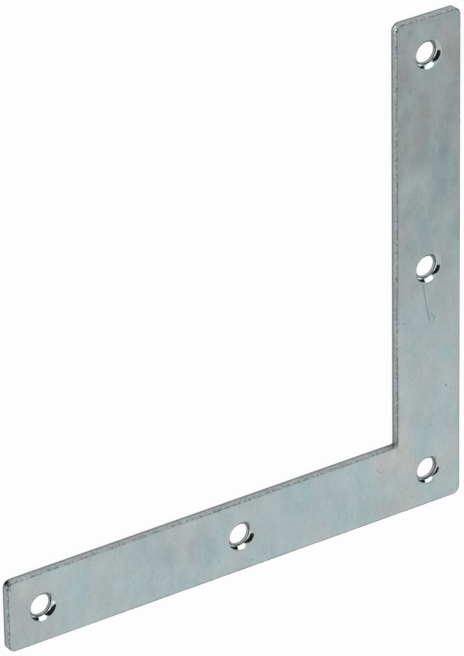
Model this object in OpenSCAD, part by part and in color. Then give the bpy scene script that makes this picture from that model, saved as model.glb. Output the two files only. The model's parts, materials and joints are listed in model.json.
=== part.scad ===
// Flat corner brace: one L-shaped plate stamped from sheet steel, with five
// countersunk screw holes. It lies on its back with the countersunk face up.
// The origin is on the corner hole's axis, in the plane of the back face.

/* [Plate] */
// Length of each arm, measured along its outer edge
arm_l = 120; // [100:1:200]
// Width of each arm
arm_w = 17.2; // [15:0.1:25]
// Thickness of the sheet
plate_t = 2; // [1.6:0.1:4]

/* [Edges] */
// Radius of the outer corner and of the corners at the arms' ends
corner_r = 1.8; // [1:0.1:5]
// Radius in the inner corner, between the arms
inner_r = 0.4; // [0.2:0.1:3]
// Radius that the punch rolls along the front edges
front_roll_r = 0.3; // [0.2:0.05:0.5]
// Radius along the back edges
back_edge_r = 0.15; // [0.1:0.05:0.3]

/* [Screw holes] */
// Diameter of each hole's straight wall
hole_d = 5; // [4:0.1:5.6]
// Diameter of the arm holes' countersink at the front face
arm_sink_d = 7; // [6.2:0.1:8]
// Diameter of the corner hole's countersink, which is cut less deep
corner_sink_d = 6.7; // [6.2:0.1:8]
// Full angle of the countersinks
sink_angle = 90; // [82:1:100]
// Distance from the corner hole to the middle hole of each arm
mid_pitch = 50.5; // [30:0.5:65]
// Distance from each arm's end to its last hole
end_gap = 9; // [7:0.1:15]

/* [Hidden] */
$fn = 96;
// The holes lie along the middle of each arm's width
edge_gap = arm_w / 2;
end_pitch = arm_l - end_gap - edge_gap;
// How far a cutter reaches past a face
past = 1;
// The inner corner's fillet is a ring that ends inside both arms
fillet_ring_r = 2 * (inner_r + front_roll_r);
// Places of the arm holes, the same on each arm
arm_holes = [mid_pitch, end_pitch];
zinc = [0.68, 0.71, 0.72];

// Section through a plate from x = 0 to its rounded edge at x = reach
module edge_section(reach) {
    square([reach - front_roll_r, plate_t]);
    translate([0, back_edge_r])
        square([reach, plate_t - back_edge_r - front_roll_r]);
    square([reach - back_edge_r, plate_t - front_roll_r]);
    translate([reach - front_roll_r, plate_t - front_roll_r])
        circle(r = front_roll_r);
    translate([reach - back_edge_r, back_edge_r])
        circle(r = back_edge_r);
}

// Section through a strip that is rounded at both edges, centred on x = 0
module strip_section(width) {
    edge_section(width / 2);
    mirror([1, 0])
        edge_section(width / 2);
}

// Straight strip along +X from x = 0, centred on y = 0, cut square at its ends
module strip(length, width) {
    rotate([90, 0, 90])
        linear_extrude(height = length)
            strip_section(width);
}

// Disc with the plate's edge, one at each rounded corner
module corner_disc() {
    rotate_extrude()
        edge_section(corner_r);
}

// One arm along +X, its outer corner at the origin, with four rounded corners
module arm() {
    translate([corner_r, arm_w / 2])
        strip(arm_l - 2 * corner_r, arm_w);
    translate([arm_l / 2, corner_r])
        rotate([0, 0, 90])
            strip(arm_w - 2 * corner_r, arm_l);
    for (x = [corner_r, arm_l - corner_r], y = [corner_r, arm_w - corner_r])
        translate([x, y])
            corner_disc();
}

// Quarter ring that rounds the inner corner, with its hollow side at the origin
module inner_fillet() {
    ring_w = fillet_ring_r - inner_r;
    rotate([0, 0, 180])
        rotate_extrude(angle = 90)
            translate([fillet_ring_r, 0])
                mirror([1, 0])
                    edge_section(ring_w);
}

// Hole through the plate with a cone down from the front face
module screw_hole(sink_d) {
    sink_depth = (sink_d - hole_d) / 2 / tan(sink_angle / 2);
    past_r = past * tan(sink_angle / 2);
    translate([0, 0, -past])
        cylinder(h = plate_t + 2 * past, d = hole_d);
    translate([0, 0, plate_t - sink_depth])
        cylinder(h = sink_depth + past, r1 = hole_d / 2, r2 = sink_d / 2 + past_r);
}

module blank() {
    translate([-edge_gap, -edge_gap]) {
        arm();
        mirror([1, -1])
            arm();
        translate([arm_w + inner_r, arm_w + inner_r])
            inner_fillet();
    }
}

module corner_brace() {
    color(zinc)
        difference() {
            blank();
            screw_hole(corner_sink_d);
            for (pitch = arm_holes, turn = [0, 90])
                rotate([0, 0, turn])
                    translate([pitch, 0])
                        screw_hole(arm_sink_d);
        }
}

corner_brace();
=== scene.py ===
import json
import math

import bmesh
import bpy
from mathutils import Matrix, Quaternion, Vector, noise


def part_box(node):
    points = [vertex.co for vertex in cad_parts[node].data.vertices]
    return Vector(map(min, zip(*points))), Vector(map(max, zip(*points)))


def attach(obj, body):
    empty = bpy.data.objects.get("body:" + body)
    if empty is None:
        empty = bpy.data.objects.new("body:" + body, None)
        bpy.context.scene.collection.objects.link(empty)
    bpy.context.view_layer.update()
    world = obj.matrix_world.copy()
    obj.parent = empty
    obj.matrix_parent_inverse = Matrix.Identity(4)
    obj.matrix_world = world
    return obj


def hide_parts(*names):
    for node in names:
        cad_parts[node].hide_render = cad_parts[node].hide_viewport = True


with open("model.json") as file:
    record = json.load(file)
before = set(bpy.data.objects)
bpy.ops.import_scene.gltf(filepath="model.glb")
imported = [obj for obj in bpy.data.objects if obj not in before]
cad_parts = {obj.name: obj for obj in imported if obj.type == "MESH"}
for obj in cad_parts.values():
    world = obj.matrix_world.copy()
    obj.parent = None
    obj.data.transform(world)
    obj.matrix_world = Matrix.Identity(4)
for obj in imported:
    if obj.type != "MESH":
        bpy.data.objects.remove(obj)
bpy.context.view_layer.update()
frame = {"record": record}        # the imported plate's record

# Blank
# The brace is one L punched out of 2 mm steel strip. The punch rolls the front edges over, shears a
# bright land below them and tears the rest, which stands back a little and is rougher.
mm = 0.001
low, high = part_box("corner_brace")
plate_t = high.z - low.z
# The holes lie along the middle of each arm, and the corner hole is at the origin
arm_w = -2 * low.x
notch = low.x + arm_w
corner_r = 1.8 * mm
corner_steps = 16
inner_r = 0.4 * mm
inner_steps = 6
edge_step = 0.4 * mm
roll_w = 0.30 * mm
roll_h = 0.28 * mm
roll_steps = 7
back_edge_r = 0.15 * mm
back_edge_steps = 3
# A narrow strip of flat face next to each edge keeps the shading of the broad face flat
border_w = 0.08 * mm
tear_top = 0.85 * mm
row_step = 0.14 * mm
tear_depth = 0.05 * mm
tear_grain = 0.9 * mm
# How far in the torn part lies on average, and how much coarse and fine noise add, as shares of its depth
tear_mean = 0.5
tear_coarse = 0.5
tear_fine = 0.25
roll_wander = 0.035 * mm
roll_grain = 1.6 * mm
# The roll wanders between these depths below the front face, as shares of its own height
wander_low = 1.5
wander_high = 0.02
# The order of the plate's finishes: broad faces, sheared edges, countersinks and the walls of the holes
face_finish, edge_finish, sink_finish, wall_finish = range(4)

plate = bmesh.new()
outline = [
    plate.verts.new((x, y, low.z + back_edge_r))
    for x, y in (
        (low.x, low.y),
        (high.x, low.y),
        (high.x, notch),
        (notch, notch),
        (notch, high.y),
        (low.x, high.y),
    )
]
plate.faces.new(outline)
inner_corner = outline.pop(3)
bmesh.ops.bevel(
    plate, geom=outline, offset=corner_r, segments=corner_steps,
    profile=0.5, affect="VERTICES", material=-1,
)
bmesh.ops.bevel(
    plate, geom=[inner_corner], offset=inner_r, segments=inner_steps,
    profile=0.5, affect="VERTICES", material=-1,
)
for edge in [e for e in plate.edges if e.calc_length() > 2 * corner_r]:
    bmesh.ops.bisect_edges(plate, edges=[edge], cuts=round(edge.calc_length() / edge_step) - 1)

risen = bmesh.ops.extrude_face_region(plate, geom=plate.faces[:])["geom"]
bmesh.ops.translate(
    plate,
    verts=[part for part in risen if isinstance(part, bmesh.types.BMVert)],
    vec=(0, 0, plate_t - back_edge_r - roll_h),
)
bmesh.ops.recalc_face_normals(plate, faces=plate.faces[:])


def round_over(side, width, height, steps):
    """Rounds the edge of the front (side 1) or back face (side -1), as insets that climb an ellipse."""
    face = max(plate.faces, key=lambda f: (len(f.verts), side * f.normal.z))
    for step in range(steps):
        start = math.radians(90) * step / steps
        end = math.radians(90) * (step + 1) / steps
        bmesh.ops.inset_region(
            plate, faces=[face], use_boundary=True, use_even_offset=True,
            thickness=width * (math.cos(start) - math.cos(end)),
            depth=height * (math.sin(end) - math.sin(start)),
        )
    bmesh.ops.inset_region(
        plate, faces=[face], use_boundary=True, use_even_offset=True, thickness=border_w, depth=0,
    )
    plate.faces.remove(face)


round_over(1, roll_w, roll_h, roll_steps)
round_over(-1, back_edge_r, back_edge_r, back_edge_steps)

row = low.z + back_edge_r + row_step
while row < high.z - roll_h:
    bmesh.ops.bisect_plane(
        plate, geom=plate.verts[:] + plate.edges[:] + plate.faces[:],
        plane_co=(0, 0, row), plane_no=(0, 0, 1),
    )
    row += row_step

plate.normal_update()
for vert in plate.verts:
    inward = -Vector((vert.normal.x, vert.normal.y, 0))
    if low.z + back_edge_r / 2 < vert.co.z < low.z + tear_top:
        coarse = noise.noise(vert.co / tear_grain)
        fine = noise.noise(vert.co * 3 / tear_grain)
        rough = tear_mean + tear_coarse * coarse + tear_fine * fine
        edge_fade = min(1, (low.z + tear_top - vert.co.z) / row_step / 2)
        vert.co += inward * tear_depth * rough * edge_fade
    elif high.z - roll_h * wander_low < vert.co.z < high.z - roll_h * wander_high:
        vert.co += inward * roll_wander * (1 + noise.noise(vert.co / roll_grain)) / 2

for face in plate.faces:
    face.material_index = edge_finish

# Screw holes
# Each hole is punched and then countersunk from the front with a 90 degree bit, which leaves a bright
# cone with fine rings. The corner hole is cut a little less deep than the others.
hole_steps = 160
rim_r = 0.05 * mm
# The rounded rim, as shares of its radius: beyond the cone's mouth and below the front face
rim_turns = ((1, 0), (0.3, 0.15), (-0.3, 0.5))
# How the cone bulges from a straight one: share of the way down, and shift both in and up in millimetres
cone_bulges = ((0.06, 0.012), (0.15, 0.022), (0.3, 0.032), (0.5, 0.036), (0.7, 0.030), (0.85, 0.018))
# The rounded edge between cone and wall, in millimetres: beyond the wall and above the cone's end
throat_turns = ((0.095, 0.100), (0.045, 0.015), (0.015, -0.05), (0, -0.12))
# Height above the cone's end from which the metal is as bright as the cone
bright_above = 0.03 * mm
bores = [mount for mount in frame["record"]["mounts"] if mount["kind"] == "bore"]


def line_hole(x, y, hole_r, wall_h):
    """Spins the wall and the cone of one screw hole, from the front face down to the back face."""
    sink_h = plate_t - wall_h
    sink_r = hole_r + sink_h
    throat_z = low.z + wall_h
    rim = [(sink_r + rim_r + border_w, high.z)]
    rim += [(sink_r + rim_r * beyond, high.z - rim_r * below) for beyond, below in rim_turns]
    cone = [
        (sink_r - sink_h * share - bulge * mm, high.z - sink_h * share + bulge * mm)
        for share, bulge in cone_bulges
    ]
    throat = [(hole_r + wide * mm, throat_z + up * mm) for wide, up in throat_turns]
    wall = [
        (hole_r, low.z + back_edge_r / 2),
        (hole_r + back_edge_r / 2, low.z),
        (hole_r + back_edge_r / 2 + border_w, low.z),
    ]
    section = rim + cone + throat + wall
    lining = bmesh.new()
    verts = [lining.verts.new((x + r, y, z)) for r, z in section]
    edges = [lining.edges.new(pair) for pair in zip(verts, verts[1:])]
    bmesh.ops.spin(
        lining, geom=verts + edges, cent=(x, y, 0), axis=(0, 0, 1), dvec=(0, 0, 0),
        angle=math.radians(360), steps=hole_steps, use_merge=True, use_duplicate=False,
    )
    for face in lining.faces:
        on_cone = face.calc_center_median().z > throat_z + bright_above
        face.material_index = sink_finish if on_cone else wall_finish
    lining_mesh = bpy.data.meshes.new("lining")
    lining.to_mesh(lining_mesh)
    lining.free()
    plate.from_mesh(lining_mesh)
    bpy.data.meshes.remove(lining_mesh)


for bore in bores:
    x, y = bore["pos_m"][:2]
    line_hole(x, y, bore["dims"]["r_mm"] * mm, bore["dims"]["length_mm"] * mm)

for face_z in (high.z, low.z):
    border = [e for e in plate.edges if e.is_boundary and abs(e.verts[0].co.z - face_z) < border_w / 2]
    filled = bmesh.ops.triangle_fill(plate, edges=border, use_beauty=True, use_dissolve=False)
    for face in [part for part in filled["geom"] if isinstance(part, bmesh.types.BMFace)]:
        face.material_index = face_finish

bmesh.ops.remove_doubles(plate, verts=plate.verts[:], dist=0.0001 * mm)
bmesh.ops.recalc_face_normals(plate, faces=plate.faces[:])
for face in plate.faces:
    face.smooth = True

brace_mesh = bpy.data.meshes.new("brace_plate")
plate.to_mesh(brace_mesh)
plate.free()
brace = bpy.data.objects.new("brace_plate", brace_mesh)
bpy.context.scene.collection.objects.link(brace)
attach(brace, "root")
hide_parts("corner_brace")

# Zinc plating
# The whole plate is barrel plated with a few thousandths of a millimetre of bright zinc and dipped in a
# clear blue passivate, which dries in soft bluish and warm patches. Handling adds a few fine marks.


def put(tree, kind, inputs=None, **settings):
    """Adds a node. Each input is a value, or an output of another node."""
    node = tree.nodes.new("ShaderNode" + kind)
    for name, value in settings.items():
        setattr(node, name, value)
    for name, value in (inputs or {}).items():
        if isinstance(value, bpy.types.NodeSocket):
            tree.links.new(value, node.inputs[name])
        else:
            node.inputs[name].default_value = value
    return node


def start_group(name, takes, gives):
    """Makes a node group. takes and gives list its inputs and outputs as (name, kind, value)."""
    group = bpy.data.node_groups.new(name, "ShaderNodeTree")
    for way, sockets in (("INPUT", takes), ("OUTPUT", gives)):
        for label, kind, value in sockets:
            socket = group.interface.new_socket(name=label, in_out=way, socket_type="NodeSocket" + kind)
            if value is not None:
                socket.default_value = value
    return group, group.nodes.new("NodeGroupInput"), group.nodes.new("NodeGroupOutput")


def use_group(tree, group, inputs):
    """Places a node group in a material."""
    return put(tree, "Group", inputs, node_tree=group)


def make_tones():
    """Passivate colours: patches of blue-grey and warm grey, drawn out a little along the rolling."""
    tree, taken, given = start_group(
        "passivate_tones",
        [
            ("Vector", "Vector", None),
            ("Patches per metre", "Float", 120.0),
            ("Warmth", "Float", 0.0),
            ("Level", "Float", 1.0),
        ],
        [("Color", "Color", None), ("Cloud", "Float", None)],
    )
    drawn = put(tree, "Mapping", {"Vector": taken.outputs["Vector"], "Scale": (0.55, 1.0, 1.0)})
    broad = put(
        tree, "TexNoise",
        {
            "Vector": drawn.outputs[0],
            "Scale": taken.outputs["Patches per metre"],
            "Detail": 2.0,
            "Roughness": 0.55,
        },
    )
    drawn_fine = put(tree, "Mapping", {"Vector": drawn.outputs[0], "Location": (0.4, 0.1, 0.2)})
    fine = put(
        tree, "TexNoise",
        {"Vector": drawn_fine.outputs[0], "Scale": 300.0, "Detail": 3.0, "Roughness": 0.5},
    )
    tint = put(
        tree, "MapRange",
        {"Value": broad.outputs["Fac"], "From Min": 0.34, "From Max": 0.66, "To Min": 0.05, "To Max": 0.7},
        interpolation_type="SMOOTHSTEP",
    )
    warmth = put(tree, "Math", {0: tint.outputs[0], 1: taken.outputs["Warmth"]}, operation="ADD")
    tone = put(tree, "ValToRGB", {"Fac": warmth.outputs[0]})
    tone.color_ramp.elements[0].color = (0.462, 0.590, 0.606, 1)
    tone.color_ramp.elements[1].color = (0.562, 0.594, 0.573, 1)
    middle = tone.color_ramp.elements.new(0.35)
    middle.color = (0.501, 0.590, 0.600, 1)
    greyer = tone.color_ramp.elements.new(0.7)
    greyer.color = (0.534, 0.584, 0.584, 1)
    shade = put(
        tree, "MapRange",
        {"Value": fine.outputs["Fac"], "From Min": 0.3, "From Max": 0.7, "To Min": 0.93, "To Max": 1.07},
    )
    rolled = put(tree, "Mapping", {"Vector": taken.outputs["Vector"], "Scale": (0.35, 1.0, 1.0)})
    streaks = put(
        tree, "TexNoise",
        {"Vector": rolled.outputs[0], "Scale": 2400.0, "Detail": 2.0, "Roughness": 0.6},
    )
    streak_shade = put(
        tree, "MapRange",
        {
            "Value": streaks.outputs["Fac"],
            "From Min": 0.3,
            "From Max": 0.7,
            "To Min": 0.94,
            "To Max": 1.06,
        },
    )
    streaked = put(
        tree, "Math", {0: shade.outputs[0], 1: streak_shade.outputs[0]}, operation="MULTIPLY",
    )
    level = put(
        tree, "Math", {0: streaked.outputs[0], 1: taken.outputs["Level"]}, operation="MULTIPLY",
    )
    shaded = put(
        tree, "VectorMath", {0: tone.outputs["Color"], "Scale": level.outputs[0]}, operation="SCALE",
    )
    tree.links.new(shaded.outputs[0], given.inputs["Color"])
    tree.links.new(fine.outputs["Fac"], given.inputs["Cloud"])
    return tree


def make_scratch():
    """Mask of one straight mark from Start to End, seen from the front."""
    tree, taken, given = start_group(
        "scratch",
        [
            ("Vector", "Vector", None),
            ("Start", "Vector", None),
            ("End", "Vector", None),
            ("Width", "Float", 0.0002),
        ],
        [("Mask", "Float", None)],
    )
    flat = put(tree, "VectorMath", {0: taken.outputs["Vector"], 1: (1, 1, 0)}, operation="MULTIPLY")
    reach = put(tree, "VectorMath", {0: flat.outputs[0], 1: taken.outputs["Start"]}, operation="SUBTRACT")
    run = put(
        tree, "VectorMath", {0: taken.outputs["End"], 1: taken.outputs["Start"]}, operation="SUBTRACT",
    )
    along = put(tree, "VectorMath", {0: reach.outputs[0], 1: run.outputs[0]}, operation="DOT_PRODUCT")
    run_squared = put(tree, "VectorMath", {0: run.outputs[0], 1: run.outputs[0]}, operation="DOT_PRODUCT")
    share = put(
        tree, "Math", {0: along.outputs["Value"], 1: run_squared.outputs["Value"]},
        operation="DIVIDE", use_clamp=True,
    )
    foot = put(tree, "VectorMath", {0: run.outputs[0], "Scale": share.outputs[0]}, operation="SCALE")
    gap = put(tree, "VectorMath", {0: reach.outputs[0], 1: foot.outputs[0]}, operation="DISTANCE")
    mask = put(
        tree, "MapRange",
        {
            "Value": gap.outputs["Value"],
            "From Min": 0.0,
            "From Max": taken.outputs["Width"],
            "To Min": 1.0,
            "To Max": 0.0,
        },
        interpolation_type="SMOOTHSTEP",
    )
    tree.links.new(mask.outputs[0], given.inputs["Mask"])
    return tree


def make_grain():
    """Height of the fine lines that rolling leaves in the strip, along X, in metres."""
    tree, taken, given = start_group(
        "rolling_grain",
        [("Vector", "Vector", None), ("Depth", "Float", 0.000002)],
        [("Height", "Float", None)],
    )
    # The broad swell of the strip is this many times as high as the fine lines
    swell_share = 6.0
    drawn = put(tree, "Mapping", {"Vector": taken.outputs["Vector"], "Scale": (0.06, 1.0, 1.0)})
    lines = put(
        tree, "TexNoise",
        {"Vector": drawn.outputs[0], "Scale": 5200.0, "Detail": 3.0, "Roughness": 0.6},
    )
    swell = put(
        tree, "TexNoise",
        {"Vector": taken.outputs["Vector"], "Scale": 260.0, "Detail": 2.0, "Roughness": 0.5},
    )
    swell_height = put(
        tree, "Math",
        {0: swell.outputs["Fac"], 1: swell_share, 2: lines.outputs["Fac"]}, operation="MULTIPLY_ADD",
    )
    height = put(
        tree, "Math", {0: swell_height.outputs[0], 1: taken.outputs["Depth"]}, operation="MULTIPLY",
    )
    tree.links.new(height.outputs[0], given.inputs["Height"])
    return tree


tones = make_tones()
scratch = make_scratch()
grain = make_grain()


def start_metal(name):
    """Starts a metal's material: its tree, its shader and the point on the piece."""
    material = bpy.data.materials.new(name)
    material.use_nodes = True
    tree = material.node_tree
    shader = tree.nodes["Principled BSDF"]
    shader.inputs["Metallic"].default_value = 1.0
    point = put(tree, "TexCoord").outputs["Object"]
    return material, tree, shader, point


def spot_mask(tree, point, place, reach, strength=1.0):
    """Mask of a round spot: strength near its place and 0 from its reach on, both in millimetres."""
    middle = tuple(value * mm for value in place)
    away = put(tree, "VectorMath", {0: point, 1: middle}, operation="DISTANCE").outputs["Value"]
    return put(
        tree, "MapRange",
        {
            "Value": away,
            "From Min": 0.3 * reach * mm,
            "From Max": reach * mm,
            "To Min": strength,
            "To Max": 0.0,
        },
        interpolation_type="SMOOTHSTEP",
    ).outputs[0]


# Scratches on the front face: start, end and width in millimetres, and how dark, where 1 is darkest
front_scratches = [
    ((46.9, 1.6), (44.8, 1.2), 0.22, 0.5),
    ((44.8, 1.2), (41.3, 0.6), 0.20, 0.6),
    ((41.3, 0.6), (37.5, -0.2), 0.22, 0.7),
    ((39.2, -0.6), (37.9, -1.6), 0.25, 0.5),
    ((37.9, -1.6), (36.8, -1.2), 0.2, 0.4),
    ((4.57, 14.12), (3.45, 13.04), 0.22, 0.35),
    ((3.45, 13.04), (3.6, 11.95), 0.22, 0.35),
    ((7.8, 110.8), (6.6, 110.5), 0.35, 0.6),
]

# Small pits and specks on the front face: place and reach in millimetres, and how dark
front_pits = [
    ((19.9, -4.8), 0.35, 0.9),
    ((38.8, 6.6), 0.45, 0.35),
    ((-6.8, 47.9), 0.4, 0.45),
    ((-6.4, 44.4), 0.3, 0.45),
    ((-1.4, 76.2), 0.35, 0.35),
    ((-5.1, 21.1), 0.3, 0.35),
    ((108.6, 5.0), 0.9, 0.2),
    ((7.6, 8.2), 0.5, 0.2),
    ((-6.2, -8.0), 0.35, 0.5),
    ((-7.2, -6.3), 0.35, 0.45),
    ((8.0, 56.7), 0.35, 0.45),
]

# Patches on the front face: place and reach in millimetres, how much warmer and how much lighter. The
# warmth is the passivate's tint; the lighter column is partly its tone and partly painted light, for the
# uneven light that the face reflects.
front_patches = [
    ((109, 0), 12, 0.26, 0.10),
    ((98, 0), 12, 0.26, 0.03),
    ((86, 0), 12, 0.26, 0.02),
    ((90, 5), 6, 0.13, 0.0),
    ((82, 5), 6, 0.13, 0.0),
    ((74, 4), 6, 0.13, 0.0),
    ((83, -6), 5.5, -0.14, 0.0),
    ((76, -6), 5.5, -0.14, -0.03),
    ((70, -6), 5.5, -0.10, 0.03),
    ((69, 3), 8, 0.18, 0.12),
    ((61.5, 0.7), 3.8, -0.29, 0.09),
    ((60.5, 6.5), 5, 0.42, 0.03),
    ((40, 5.5), 6, 0.08, 0.03),
    ((42, -5.5), 6, -0.14, 0.0),
    ((34, 7.5), 4, 0.45, 0.03),
    ((28.5, 7.5), 4, 0.45, 0.03),
    ((23, 7.5), 4, 0.45, 0.03),
    ((26, -5), 6.5, -0.24, 0.0),
    ((18, -4), 7.5, -0.34, 0.0),
    ((10, -4), 7.5, -0.34, 0.0),
    ((13, 7.5), 4, 0.32, 0.0),
    ((8, 7.5), 4, 0.36, 0.0),
    ((3, 6.5), 4, 0.32, 0.0),
    ((6, 12.5), 5, 0.38, 0.03),
    ((-5.5, 5.5), 4.8, 0.42, 0.0),
    ((-6, 10.5), 5, 0.0, -0.025),
    ((4, 22), 6.5, -0.20, 0.03),
    ((-3, 24.5), 6.2, -0.20, 0.0),
    ((4.5, 37), 7, -0.30, 0.0),
    ((-2.5, 42), 7, -0.30, 0.0),
    ((4, 53.5), 5.4, -0.30, 0.0),
    ((-4, 55.5), 5.4, -0.30, 0.0),
    ((1, 64), 9, 0.0, -0.055),
    ((5, 73), 9, 0.0, -0.055),
    ((-3, 71.5), 5.2, 0.30, 0.0),
    ((4.5, 77), 4.6, -0.42, 0.0),
    ((-3.5, 78.5), 4.6, -0.42, 0.0),
    ((0, 82), 4.8, -0.30, 0.0),
    ((-6.5, 84), 7, 0.0, -0.03),
    ((2.5, 92.5), 5, -0.38, 0.0),
    ((-4, 94.5), 5, -0.20, -0.03),
    ((-4, 101), 6, 0.0, -0.05),
    ((0, 101), 4.6, -0.28, 0.0),
    ((4, 105), 5, 0.22, 0.0),
    ((-4, 108), 5, 0.22, 0.0),
    ((2, 110.5), 3.8, 0.30, 0.0),
    ((-1, 109), 12, 0.0, -0.05),
]


def make_face_zinc():
    """Broad faces: satin plating over the rolled strip."""
    material, tree, shader, point = start_metal("zinc_face")
    height_above = put(tree, "SeparateXYZ", {"Vector": point}).outputs["Z"]
    on_front = put(
        tree, "Math", {0: height_above, 1: (low.z + high.z) / 2}, operation="GREATER_THAN",
    ).outputs[0]
    front_z = high.z / mm
    warmth = 0.0
    lighter = 0.0
    for place, reach, warmer, lightening in front_patches:
        patch = spot_mask(tree, point, (*place, front_z), reach)
        warmth = put(
            tree, "Math", {0: patch, 1: warmer, 2: warmth}, operation="MULTIPLY_ADD",
        ).outputs[0]
        # The lightening is partly the passivate's tone and partly painted light on the face
        lighter = put(
            tree, "Math", {0: patch, 1: lightening, 2: lighter}, operation="MULTIPLY_ADD",
        ).outputs[0]
    warmth = put(tree, "Math", {0: warmth, 1: on_front}, operation="MULTIPLY").outputs[0]
    level = put(tree, "Math", {0: lighter, 1: on_front, 2: 1.0}, operation="MULTIPLY_ADD").outputs[0]
    tone = use_group(
        tree, tones, {"Vector": point, "Patches per metre": 120.0, "Warmth": warmth, "Level": level},
    )
    color = tone.outputs["Color"]
    marks = 0.0
    for start, end, width, darkness in front_scratches:
        mark = use_group(
            tree, scratch,
            {
                "Vector": point,
                "Start": (start[0] * mm, start[1] * mm, 0),
                "End": (end[0] * mm, end[1] * mm, 0),
                "Width": width * mm,
            },
        )
        dark = put(tree, "Math", {0: mark.outputs["Mask"], 1: darkness}, operation="MULTIPLY").outputs[0]
        marks = put(tree, "Math", {0: marks, 1: dark}, operation="MAXIMUM").outputs[0]
    for place, reach, darkness in front_pits:
        pit = spot_mask(tree, point, (*place, front_z), reach, darkness)
        marks = put(tree, "Math", {0: marks, 1: pit}, operation="MAXIMUM").outputs[0]
    marks = put(tree, "Math", {0: marks, 1: on_front}, operation="MULTIPLY").outputs[0]
    scratched = (0.16, 0.18, 0.19, 1)
    marked = put(tree, "Mix", {0: marks, 6: color, 7: scratched}, data_type="RGBA")
    tree.links.new(marked.outputs[2], shader.inputs["Base Color"])
    rough = put(
        tree, "MapRange",
        {"Value": tone.outputs["Cloud"], "From Min": 0.3, "From Max": 0.7, "To Min": 0.24, "To Max": 0.34},
    )
    tree.links.new(rough.outputs[0], shader.inputs["Roughness"])
    lines = use_group(tree, grain, {"Vector": point, "Depth": 0.0000015})
    bump = put(tree, "Bump", {"Height": lines.outputs["Height"], "Distance": 1.0, "Strength": 1.0})
    tree.links.new(bump.outputs[0], shader.inputs["Normal"])
    return material


# Spots on the edges, partly knocks, partly painted dark reflection and painted glints: place and reach in
# millimetres, and how dark, or how light where it is below zero
edge_marks = [
    ((8.2, 110.8, 0.6), 1.1, 1.0),
    ((8.0, 110.9, 1.6), 0.55, 0.8),
    ((7.2, 111.2, 1.9), 0.45, 0.6),
    ((8.75, 8.9, 0.9), 0.6, 0.75),
    ((8.6, 10.2, 0.5), 1.3, 0.35),
    ((110.8, 8.1, 0.95), 0.38, -1.0),
    ((110.3, 8.4, 0.75), 0.28, -0.8),
    ((110.4, 8.4, 1.5), 0.36, -1.0),
    ((109.8, 8.55, 1.35), 0.3, -0.9),
    ((110.1, 8.5, 1.75), 0.35, 0.6),
    ((111.3, 6.6, 1.8), 0.4, 0.5),
    ((110.9, -8.1, 1.6), 0.5, 0.9),
    ((-7.9, 111.1, 0.8), 1.3, 0.5),
    ((-8.3, 110.4, 0.3), 1.0, 0.4),
    ((-3.6, 111.4, 0.3), 0.6, 0.5),
    ((0.4, 111.4, 1.7), 0.4, 0.7),
]


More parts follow.
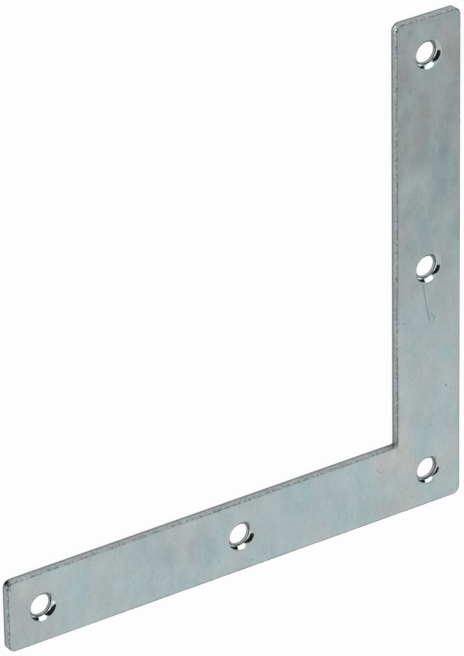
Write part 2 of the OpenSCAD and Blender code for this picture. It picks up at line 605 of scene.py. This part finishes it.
def make_edge_zinc():
    """Sheared edge, by height: the torn part, the bright land and a blotchy dark line along the roll."""
    tear_wander = 0.45 * mm
    tear_fades_from = tear_top - 0.05 * mm
    tear_fades_to = tear_top + 0.25 * mm
    line_sway = 0.4 * mm
    line_half = 0.13 * mm
    line_z = high.z - roll_h / 2 + line_sway / 2
    torn_zinc = (0.246, 0.272, 0.284, 1)
    line_zinc = (0.19, 0.217, 0.228, 1)
    # Colours of the edge spots: dark for knocks and painted dark reflection, white for painted glints
    dark_knock_and_reflection = (0.015, 0.015, 0.02, 1)
    painted_glint = (1, 0.99, 1, 1)
    material, tree, shader, point = start_metal("zinc_edge")
    tone = use_group(
        tree, tones, {"Vector": point, "Patches per metre": 200.0, "Warmth": 0.25, "Level": 0.77},
    )
    wander = put(tree, "TexNoise", {"Vector": point, "Scale": 700.0, "Detail": 3.0, "Roughness": 0.6})
    blotch = put(tree, "TexNoise", {"Vector": point, "Scale": 1500.0, "Detail": 2.0, "Roughness": 0.6})
    height_above = put(tree, "SeparateXYZ", {"Vector": point}).outputs["Z"]
    moved = put(
        tree, "Math",
        {0: wander.outputs["Fac"], 1: tear_wander, 2: height_above}, operation="MULTIPLY_ADD",
    ).outputs[0]
    torn = put(
        tree, "MapRange",
        {
            "Value": moved,
            "From Min": tear_fades_from,
            "From Max": tear_fades_to,
            "To Min": 1.0,
            "To Max": 0.0,
        },
        interpolation_type="SMOOTHSTEP",
    ).outputs[0]
    sway = put(tree, "TexNoise", {"Vector": point, "Scale": 40.0, "Detail": 1.0})
    swayed = put(
        tree, "Math", {0: sway.outputs["Fac"], 1: line_sway, 2: height_above}, operation="MULTIPLY_ADD",
    ).outputs[0]
    on_line = put(
        tree, "Math", {0: swayed, 1: line_z, 2: line_half}, operation="COMPARE",
    ).outputs[0]
    dark_spots = put(
        tree, "MapRange",
        {"Value": blotch.outputs["Fac"], "From Min": 0.34, "From Max": 0.6, "To Min": 1.0, "To Max": 0.25},
        interpolation_type="SMOOTHSTEP",
    ).outputs[0]
    line = put(tree, "Math", {0: on_line, 1: dark_spots}, operation="MULTIPLY").outputs[0]
    mottled = put(
        tree, "MapRange",
        {
            "Value": blotch.outputs["Fac"],
            "From Min": 0.35,
            "From Max": 0.65,
            "To Min": 0.76,
            "To Max": 1.16,
        },
    ).outputs[0]
    blotchy = put(
        tree, "VectorMath", {0: tone.outputs["Color"], "Scale": mottled}, operation="SCALE",
    ).outputs[0]
    torn_color = put(
        tree, "Mix", {0: torn, 6: blotchy, 7: torn_zinc}, data_type="RGBA",
    ).outputs[2]
    color = put(
        tree, "Mix", {0: line, 6: torn_color, 7: line_zinc}, data_type="RGBA",
    ).outputs[2]
    # Dark spots are partly knocks and partly painted dark reflection at the corners; light spots are
    # painted glints
    for place, reach, darkness in edge_marks:
        strength = spot_mask(tree, point, place, reach, abs(darkness))
        edge_spot_colour = dark_knock_and_reflection if darkness > 0 else painted_glint
        color = put(tree, "Mix", {0: strength, 6: color, 7: edge_spot_colour}, data_type="RGBA").outputs[2]
    tree.links.new(color, shader.inputs["Base Color"])
    shader.inputs["Roughness"].default_value = 0.45
    drawn = put(tree, "Mapping", {"Vector": point, "Scale": (1.0, 1.0, 0.12)})
    rub = put(tree, "TexNoise", {"Vector": drawn.outputs[0], "Scale": 3500.0, "Detail": 3.0})
    bump = put(tree, "Bump", {"Height": rub.outputs["Fac"], "Distance": 0.01 * mm, "Strength": 1.0})
    tree.links.new(bump.outputs[0], shader.inputs["Normal"])
    return material


def make_sink_zinc():
    """Countersinks: bright cut metal under the plating, with rings left by the bit."""
    material, tree, shader, point = start_metal("zinc_countersink")
    tone = use_group(
        tree, tones, {"Vector": point, "Patches per metre": 200.0, "Warmth": 0.2, "Level": 0.95},
    )
    tree.links.new(tone.outputs["Color"], shader.inputs["Base Color"])
    shader.inputs["Roughness"].default_value = 0.09
    turned = put(tree, "Mapping", {"Vector": point, "Scale": (0.02, 0.02, 1.0)})
    rings = put(tree, "TexNoise", {"Vector": turned.outputs[0], "Scale": 9000.0, "Detail": 2.0})
    bump = put(tree, "Bump", {"Height": rings.outputs["Fac"], "Distance": 0.002 * mm, "Strength": 1.0})
    tree.links.new(bump.outputs[0], shader.inputs["Normal"])
    return material


def make_bore_zinc():
    """Punched walls of the holes, with fine rings. The colour is partly the duller punched metal and
    partly
    painted shade inside the hole: darkest in a band just below the cone and at the back.
    """
    material, tree, shader, point = start_metal("zinc_bore")
    turned = put(tree, "Mapping", {"Vector": point, "Scale": (0.05, 0.05, 1.0)})
    rings = put(tree, "TexNoise", {"Vector": turned.outputs[0], "Scale": 6000.0, "Detail": 2.0})
    ring_shade = put(
        tree, "MapRange",
        {"Value": rings.outputs["Fac"], "From Min": 0.35, "From Max": 0.65, "To Min": 0.6, "To Max": 1.3},
    )
    height_above = put(tree, "SeparateXYZ", {"Vector": point}).outputs["Z"]
    wall_h = 1.1 * mm
    up_wall = put(
        tree, "MapRange", {"Value": height_above, "From Min": low.z, "From Max": low.z + wall_h},
    )
    tone = put(tree, "ValToRGB", {"Fac": up_wall.outputs[0]})
    ramp = tone.color_ramp
    ramp.elements[0].color = (0.12, 0.125, 0.13, 1)
    ramp.elements[1].color = (0.2, 0.205, 0.21, 1)
    # Grey levels up the wall, by share of its height: the dark bands are painted shade in the hole
    tone_and_shade_bands = ((0.1, 0.16), (0.22, 0.42), (0.45, 0.55), (0.66, 0.40), (0.80, 0.07), (0.93, 0.05))
    for height, level in tone_and_shade_bands:
        ramp.elements.new(height).color = (level, level * 1.07, level * 1.09, 1)
    ringed = put(
        tree, "VectorMath", {0: tone.outputs["Color"], "Scale": ring_shade.outputs[0]}, operation="SCALE",
    )
    tree.links.new(ringed.outputs[0], shader.inputs["Base Color"])
    shader.inputs["Roughness"].default_value = 0.4
    return material


for material in (make_face_zinc(), make_edge_zinc(), make_sink_zinc(), make_bore_zinc()):
    brace_mesh.materials.append(material)

# Floor
# A wide pale table that the plate lies on. It shows as white, keeps the plate's soft shadow, and is seen
# only from above, so that a camera below it sees the plate's back.
floor_half = 6.0
floor_gap = 0.02 * mm
# How white it shows in the metal and to the camera
mirrored_white = 0.6
seen_white = 0.93

floor_mesh = bpy.data.meshes.new("floor")
table = bmesh.new()
bmesh.ops.create_grid(table, x_segments=1, y_segments=1, size=floor_half)
bmesh.ops.translate(table, verts=table.verts[:], vec=(0, 0, low.z - floor_gap))
table.to_mesh(floor_mesh)
table.free()
floor = bpy.data.objects.new("floor", floor_mesh)
bpy.context.scene.collection.objects.link(floor)

paint = bpy.data.materials.new("floor_white")
paint.use_nodes = True
paint_tree = paint.node_tree
paint_tree.nodes.clear()
rays = put(paint_tree, "LightPath")
in_metal = put(
    paint_tree, "Math",
    {0: rays.outputs["Is Glossy Ray"], 1: rays.outputs["Is Transmission Ray"]}, operation="MAXIMUM",
).outputs[0]
in_metal_share = put(paint_tree, "Math", {0: in_metal, 1: mirrored_white}, operation="MULTIPLY").outputs[0]
camera_share = put(
    paint_tree, "Math", {0: rays.outputs["Is Camera Ray"], 1: seen_white}, operation="MULTIPLY",
).outputs[0]
glow_share = put(paint_tree, "Math", {0: in_metal_share, 1: camera_share}, operation="MAXIMUM").outputs[0]
matt = put(paint_tree, "BsdfDiffuse", {"Color": (0.9, 0.9, 0.9, 1)}).outputs[0]
glow = put(paint_tree, "Emission", {"Color": (1, 1, 1, 1), "Strength": 1.0}).outputs[0]
top_side = put(paint_tree, "MixShader", {0: glow_share, 1: matt, 2: glow}).outputs[0]
under = put(paint_tree, "NewGeometry").outputs["Backfacing"]
clear = put(paint_tree, "BsdfTransparent").outputs[0]
both = put(paint_tree, "MixShader", {0: under, 1: top_side, 2: clear}).outputs[0]
put(paint_tree, "OutputMaterial", {"Surface": both})
floor_mesh.materials.append(paint)

# Studio light
# Pale walls all round and two softboxes light the plate and the floor. Flat cards shape what the metal
# mirrors: dark and grey flags, a light card past the Y arm's end and a small dark one in each hole, which
# is painted shade of the table under the hole.
wall_level = 0.8
room = bpy.data.worlds.new("room")
room.use_nodes = True
room.node_tree.nodes["Background"].inputs["Color"].default_value = (1, 1, 1, 1)
room.node_tree.nodes["Background"].inputs["Strength"].default_value = wall_level
bpy.context.scene.world = room

centre = Vector((0.045, 0.045, 0))


def softbox(name, direction, distance, width, height, level):
    """An area lamp that faces the plate. level is how bright it looks, where 1 is white."""
    lamp = bpy.data.lights.new(name, "AREA")
    lamp.shape = "RECTANGLE"
    lamp.size = width
    lamp.size_y = height
    lamp.energy = level * math.pi * width * height
    thing = bpy.data.objects.new(name, lamp)
    way = Vector(direction).normalized()
    thing.location = centre + way * distance
    thing.rotation_mode = "QUATERNION"
    thing.rotation_quaternion = way.to_track_quat("Z", "Y")
    thing.visible_camera = False
    bpy.context.scene.collection.objects.link(thing)


def flag(name, place, facing, width, height, shade, roll=0.0):
    """A card that shows only in the metal, as bright as shade. roll turns it about facing, in degrees."""
    card_mesh = bpy.data.meshes.new(name)
    card = bmesh.new()
    bmesh.ops.create_grid(card, x_segments=1, y_segments=1, size=0.5)
    bmesh.ops.scale(card, verts=card.verts[:], vec=(width, height, 1))
    turn = (facing.to_track_quat("Z", "Y") @ Quaternion((0, 0, 1), math.radians(roll))).to_matrix()
    bmesh.ops.rotate(card, verts=card.verts[:], cent=(0, 0, 0), matrix=turn)
    bmesh.ops.translate(card, verts=card.verts[:], vec=place)
    card.to_mesh(card_mesh)
    card.free()
    thing = bpy.data.objects.new(name, card_mesh)
    bpy.context.scene.collection.objects.link(thing)
    thing.visible_camera = False
    thing.visible_diffuse = False
    thing.visible_shadow = False
    cloth = bpy.data.materials.new(name)
    cloth.use_nodes = True
    cloth.node_tree.nodes.clear()
    gleam = put(cloth.node_tree, "Emission", {"Color": (shade, shade, shade, 1), "Strength": 1.0})
    put(cloth.node_tree, "OutputMaterial", {"Surface": gleam.outputs[0]})
    card_mesh.materials.append(cloth)


softbox(
    "side_softbox", direction=(0.744, -0.39, 0.543), distance=1.0, width=1.02, height=0.5, level=1.3,
)
softbox(
    "low_softbox", direction=(0.0, 0.97, 0.17), distance=1.0, width=1.6, height=0.30, level=0.95,
)
flag(
    "camera_flag", Vector((0.085, 0.267, 0.210)), facing=Vector((0.6, 0.6, 0.53)),
    width=0.62, height=0.15, shade=0.02, roll=21.4,
)
flag(
    "end_card", Vector((-0.055, 0.205, 0.055)), facing=Vector((0.42, -0.79, -0.42)),
    width=0.06, height=0.05, shade=1.4,
)
low_way = Vector((0.09, -0.92, 0.21))
flag("low_flag", centre + low_way, facing=low_way, width=0.9, height=0.42, shade=0.02)
upward = Vector((0, 0, 1))
flag("far_flag", Vector((0.039, -0.082, 0.12)), facing=upward, width=0.13, height=0.13, shade=0.51)
# The small dark card in each hole, painted shade of the table under it that the metal mirrors, as shares
# of the hole's radius: its place off the axis and its length
spot_x = 0.42
spot_y = -0.27
spot_length = 1.18
for bore in bores:
    bore_r = bore["dims"]["r_mm"] * mm
    x, y = bore["pos_m"][:2]
    spot = Vector((x + spot_x * bore_r, y + spot_y * bore_r, low.z - floor_gap / 2))
    # Each card is painted shade: it darkens what the metal mirrors of the table under the hole
    flag("painted_hole_shade", spot, facing=upward, width=bore_r, height=spot_length * bore_r, shade=0.03)

# Camera
# It looks down on the plate from between the two arms' ends, from well back, and is turned so that the
# X arm stands upright in the picture.
aim = Vector((50.84, 50.94, 0)) * mm
azimuth = math.radians(46.576)
elevation = math.radians(46.862)
roll = math.radians(123.740)
distance = 1423.1 * mm

lens_data = bpy.data.cameras.new("camera")
lens_data.sensor_width = 36
lens_data.lens = 362.9
camera = bpy.data.objects.new("camera", lens_data)
bpy.context.scene.collection.objects.link(camera)
backward = Vector((
    math.cos(elevation) * math.cos(azimuth),
    math.cos(elevation) * math.sin(azimuth),
    math.sin(elevation),
))
camera.location = aim + backward * distance
camera.rotation_mode = "QUATERNION"
camera.rotation_quaternion = backward.to_track_quat("Z", "Y") @ Quaternion((0, 0, 1), roll)
bpy.context.scene.camera = camera
bpy.context.scene.view_settings.view_transform = "Standard"
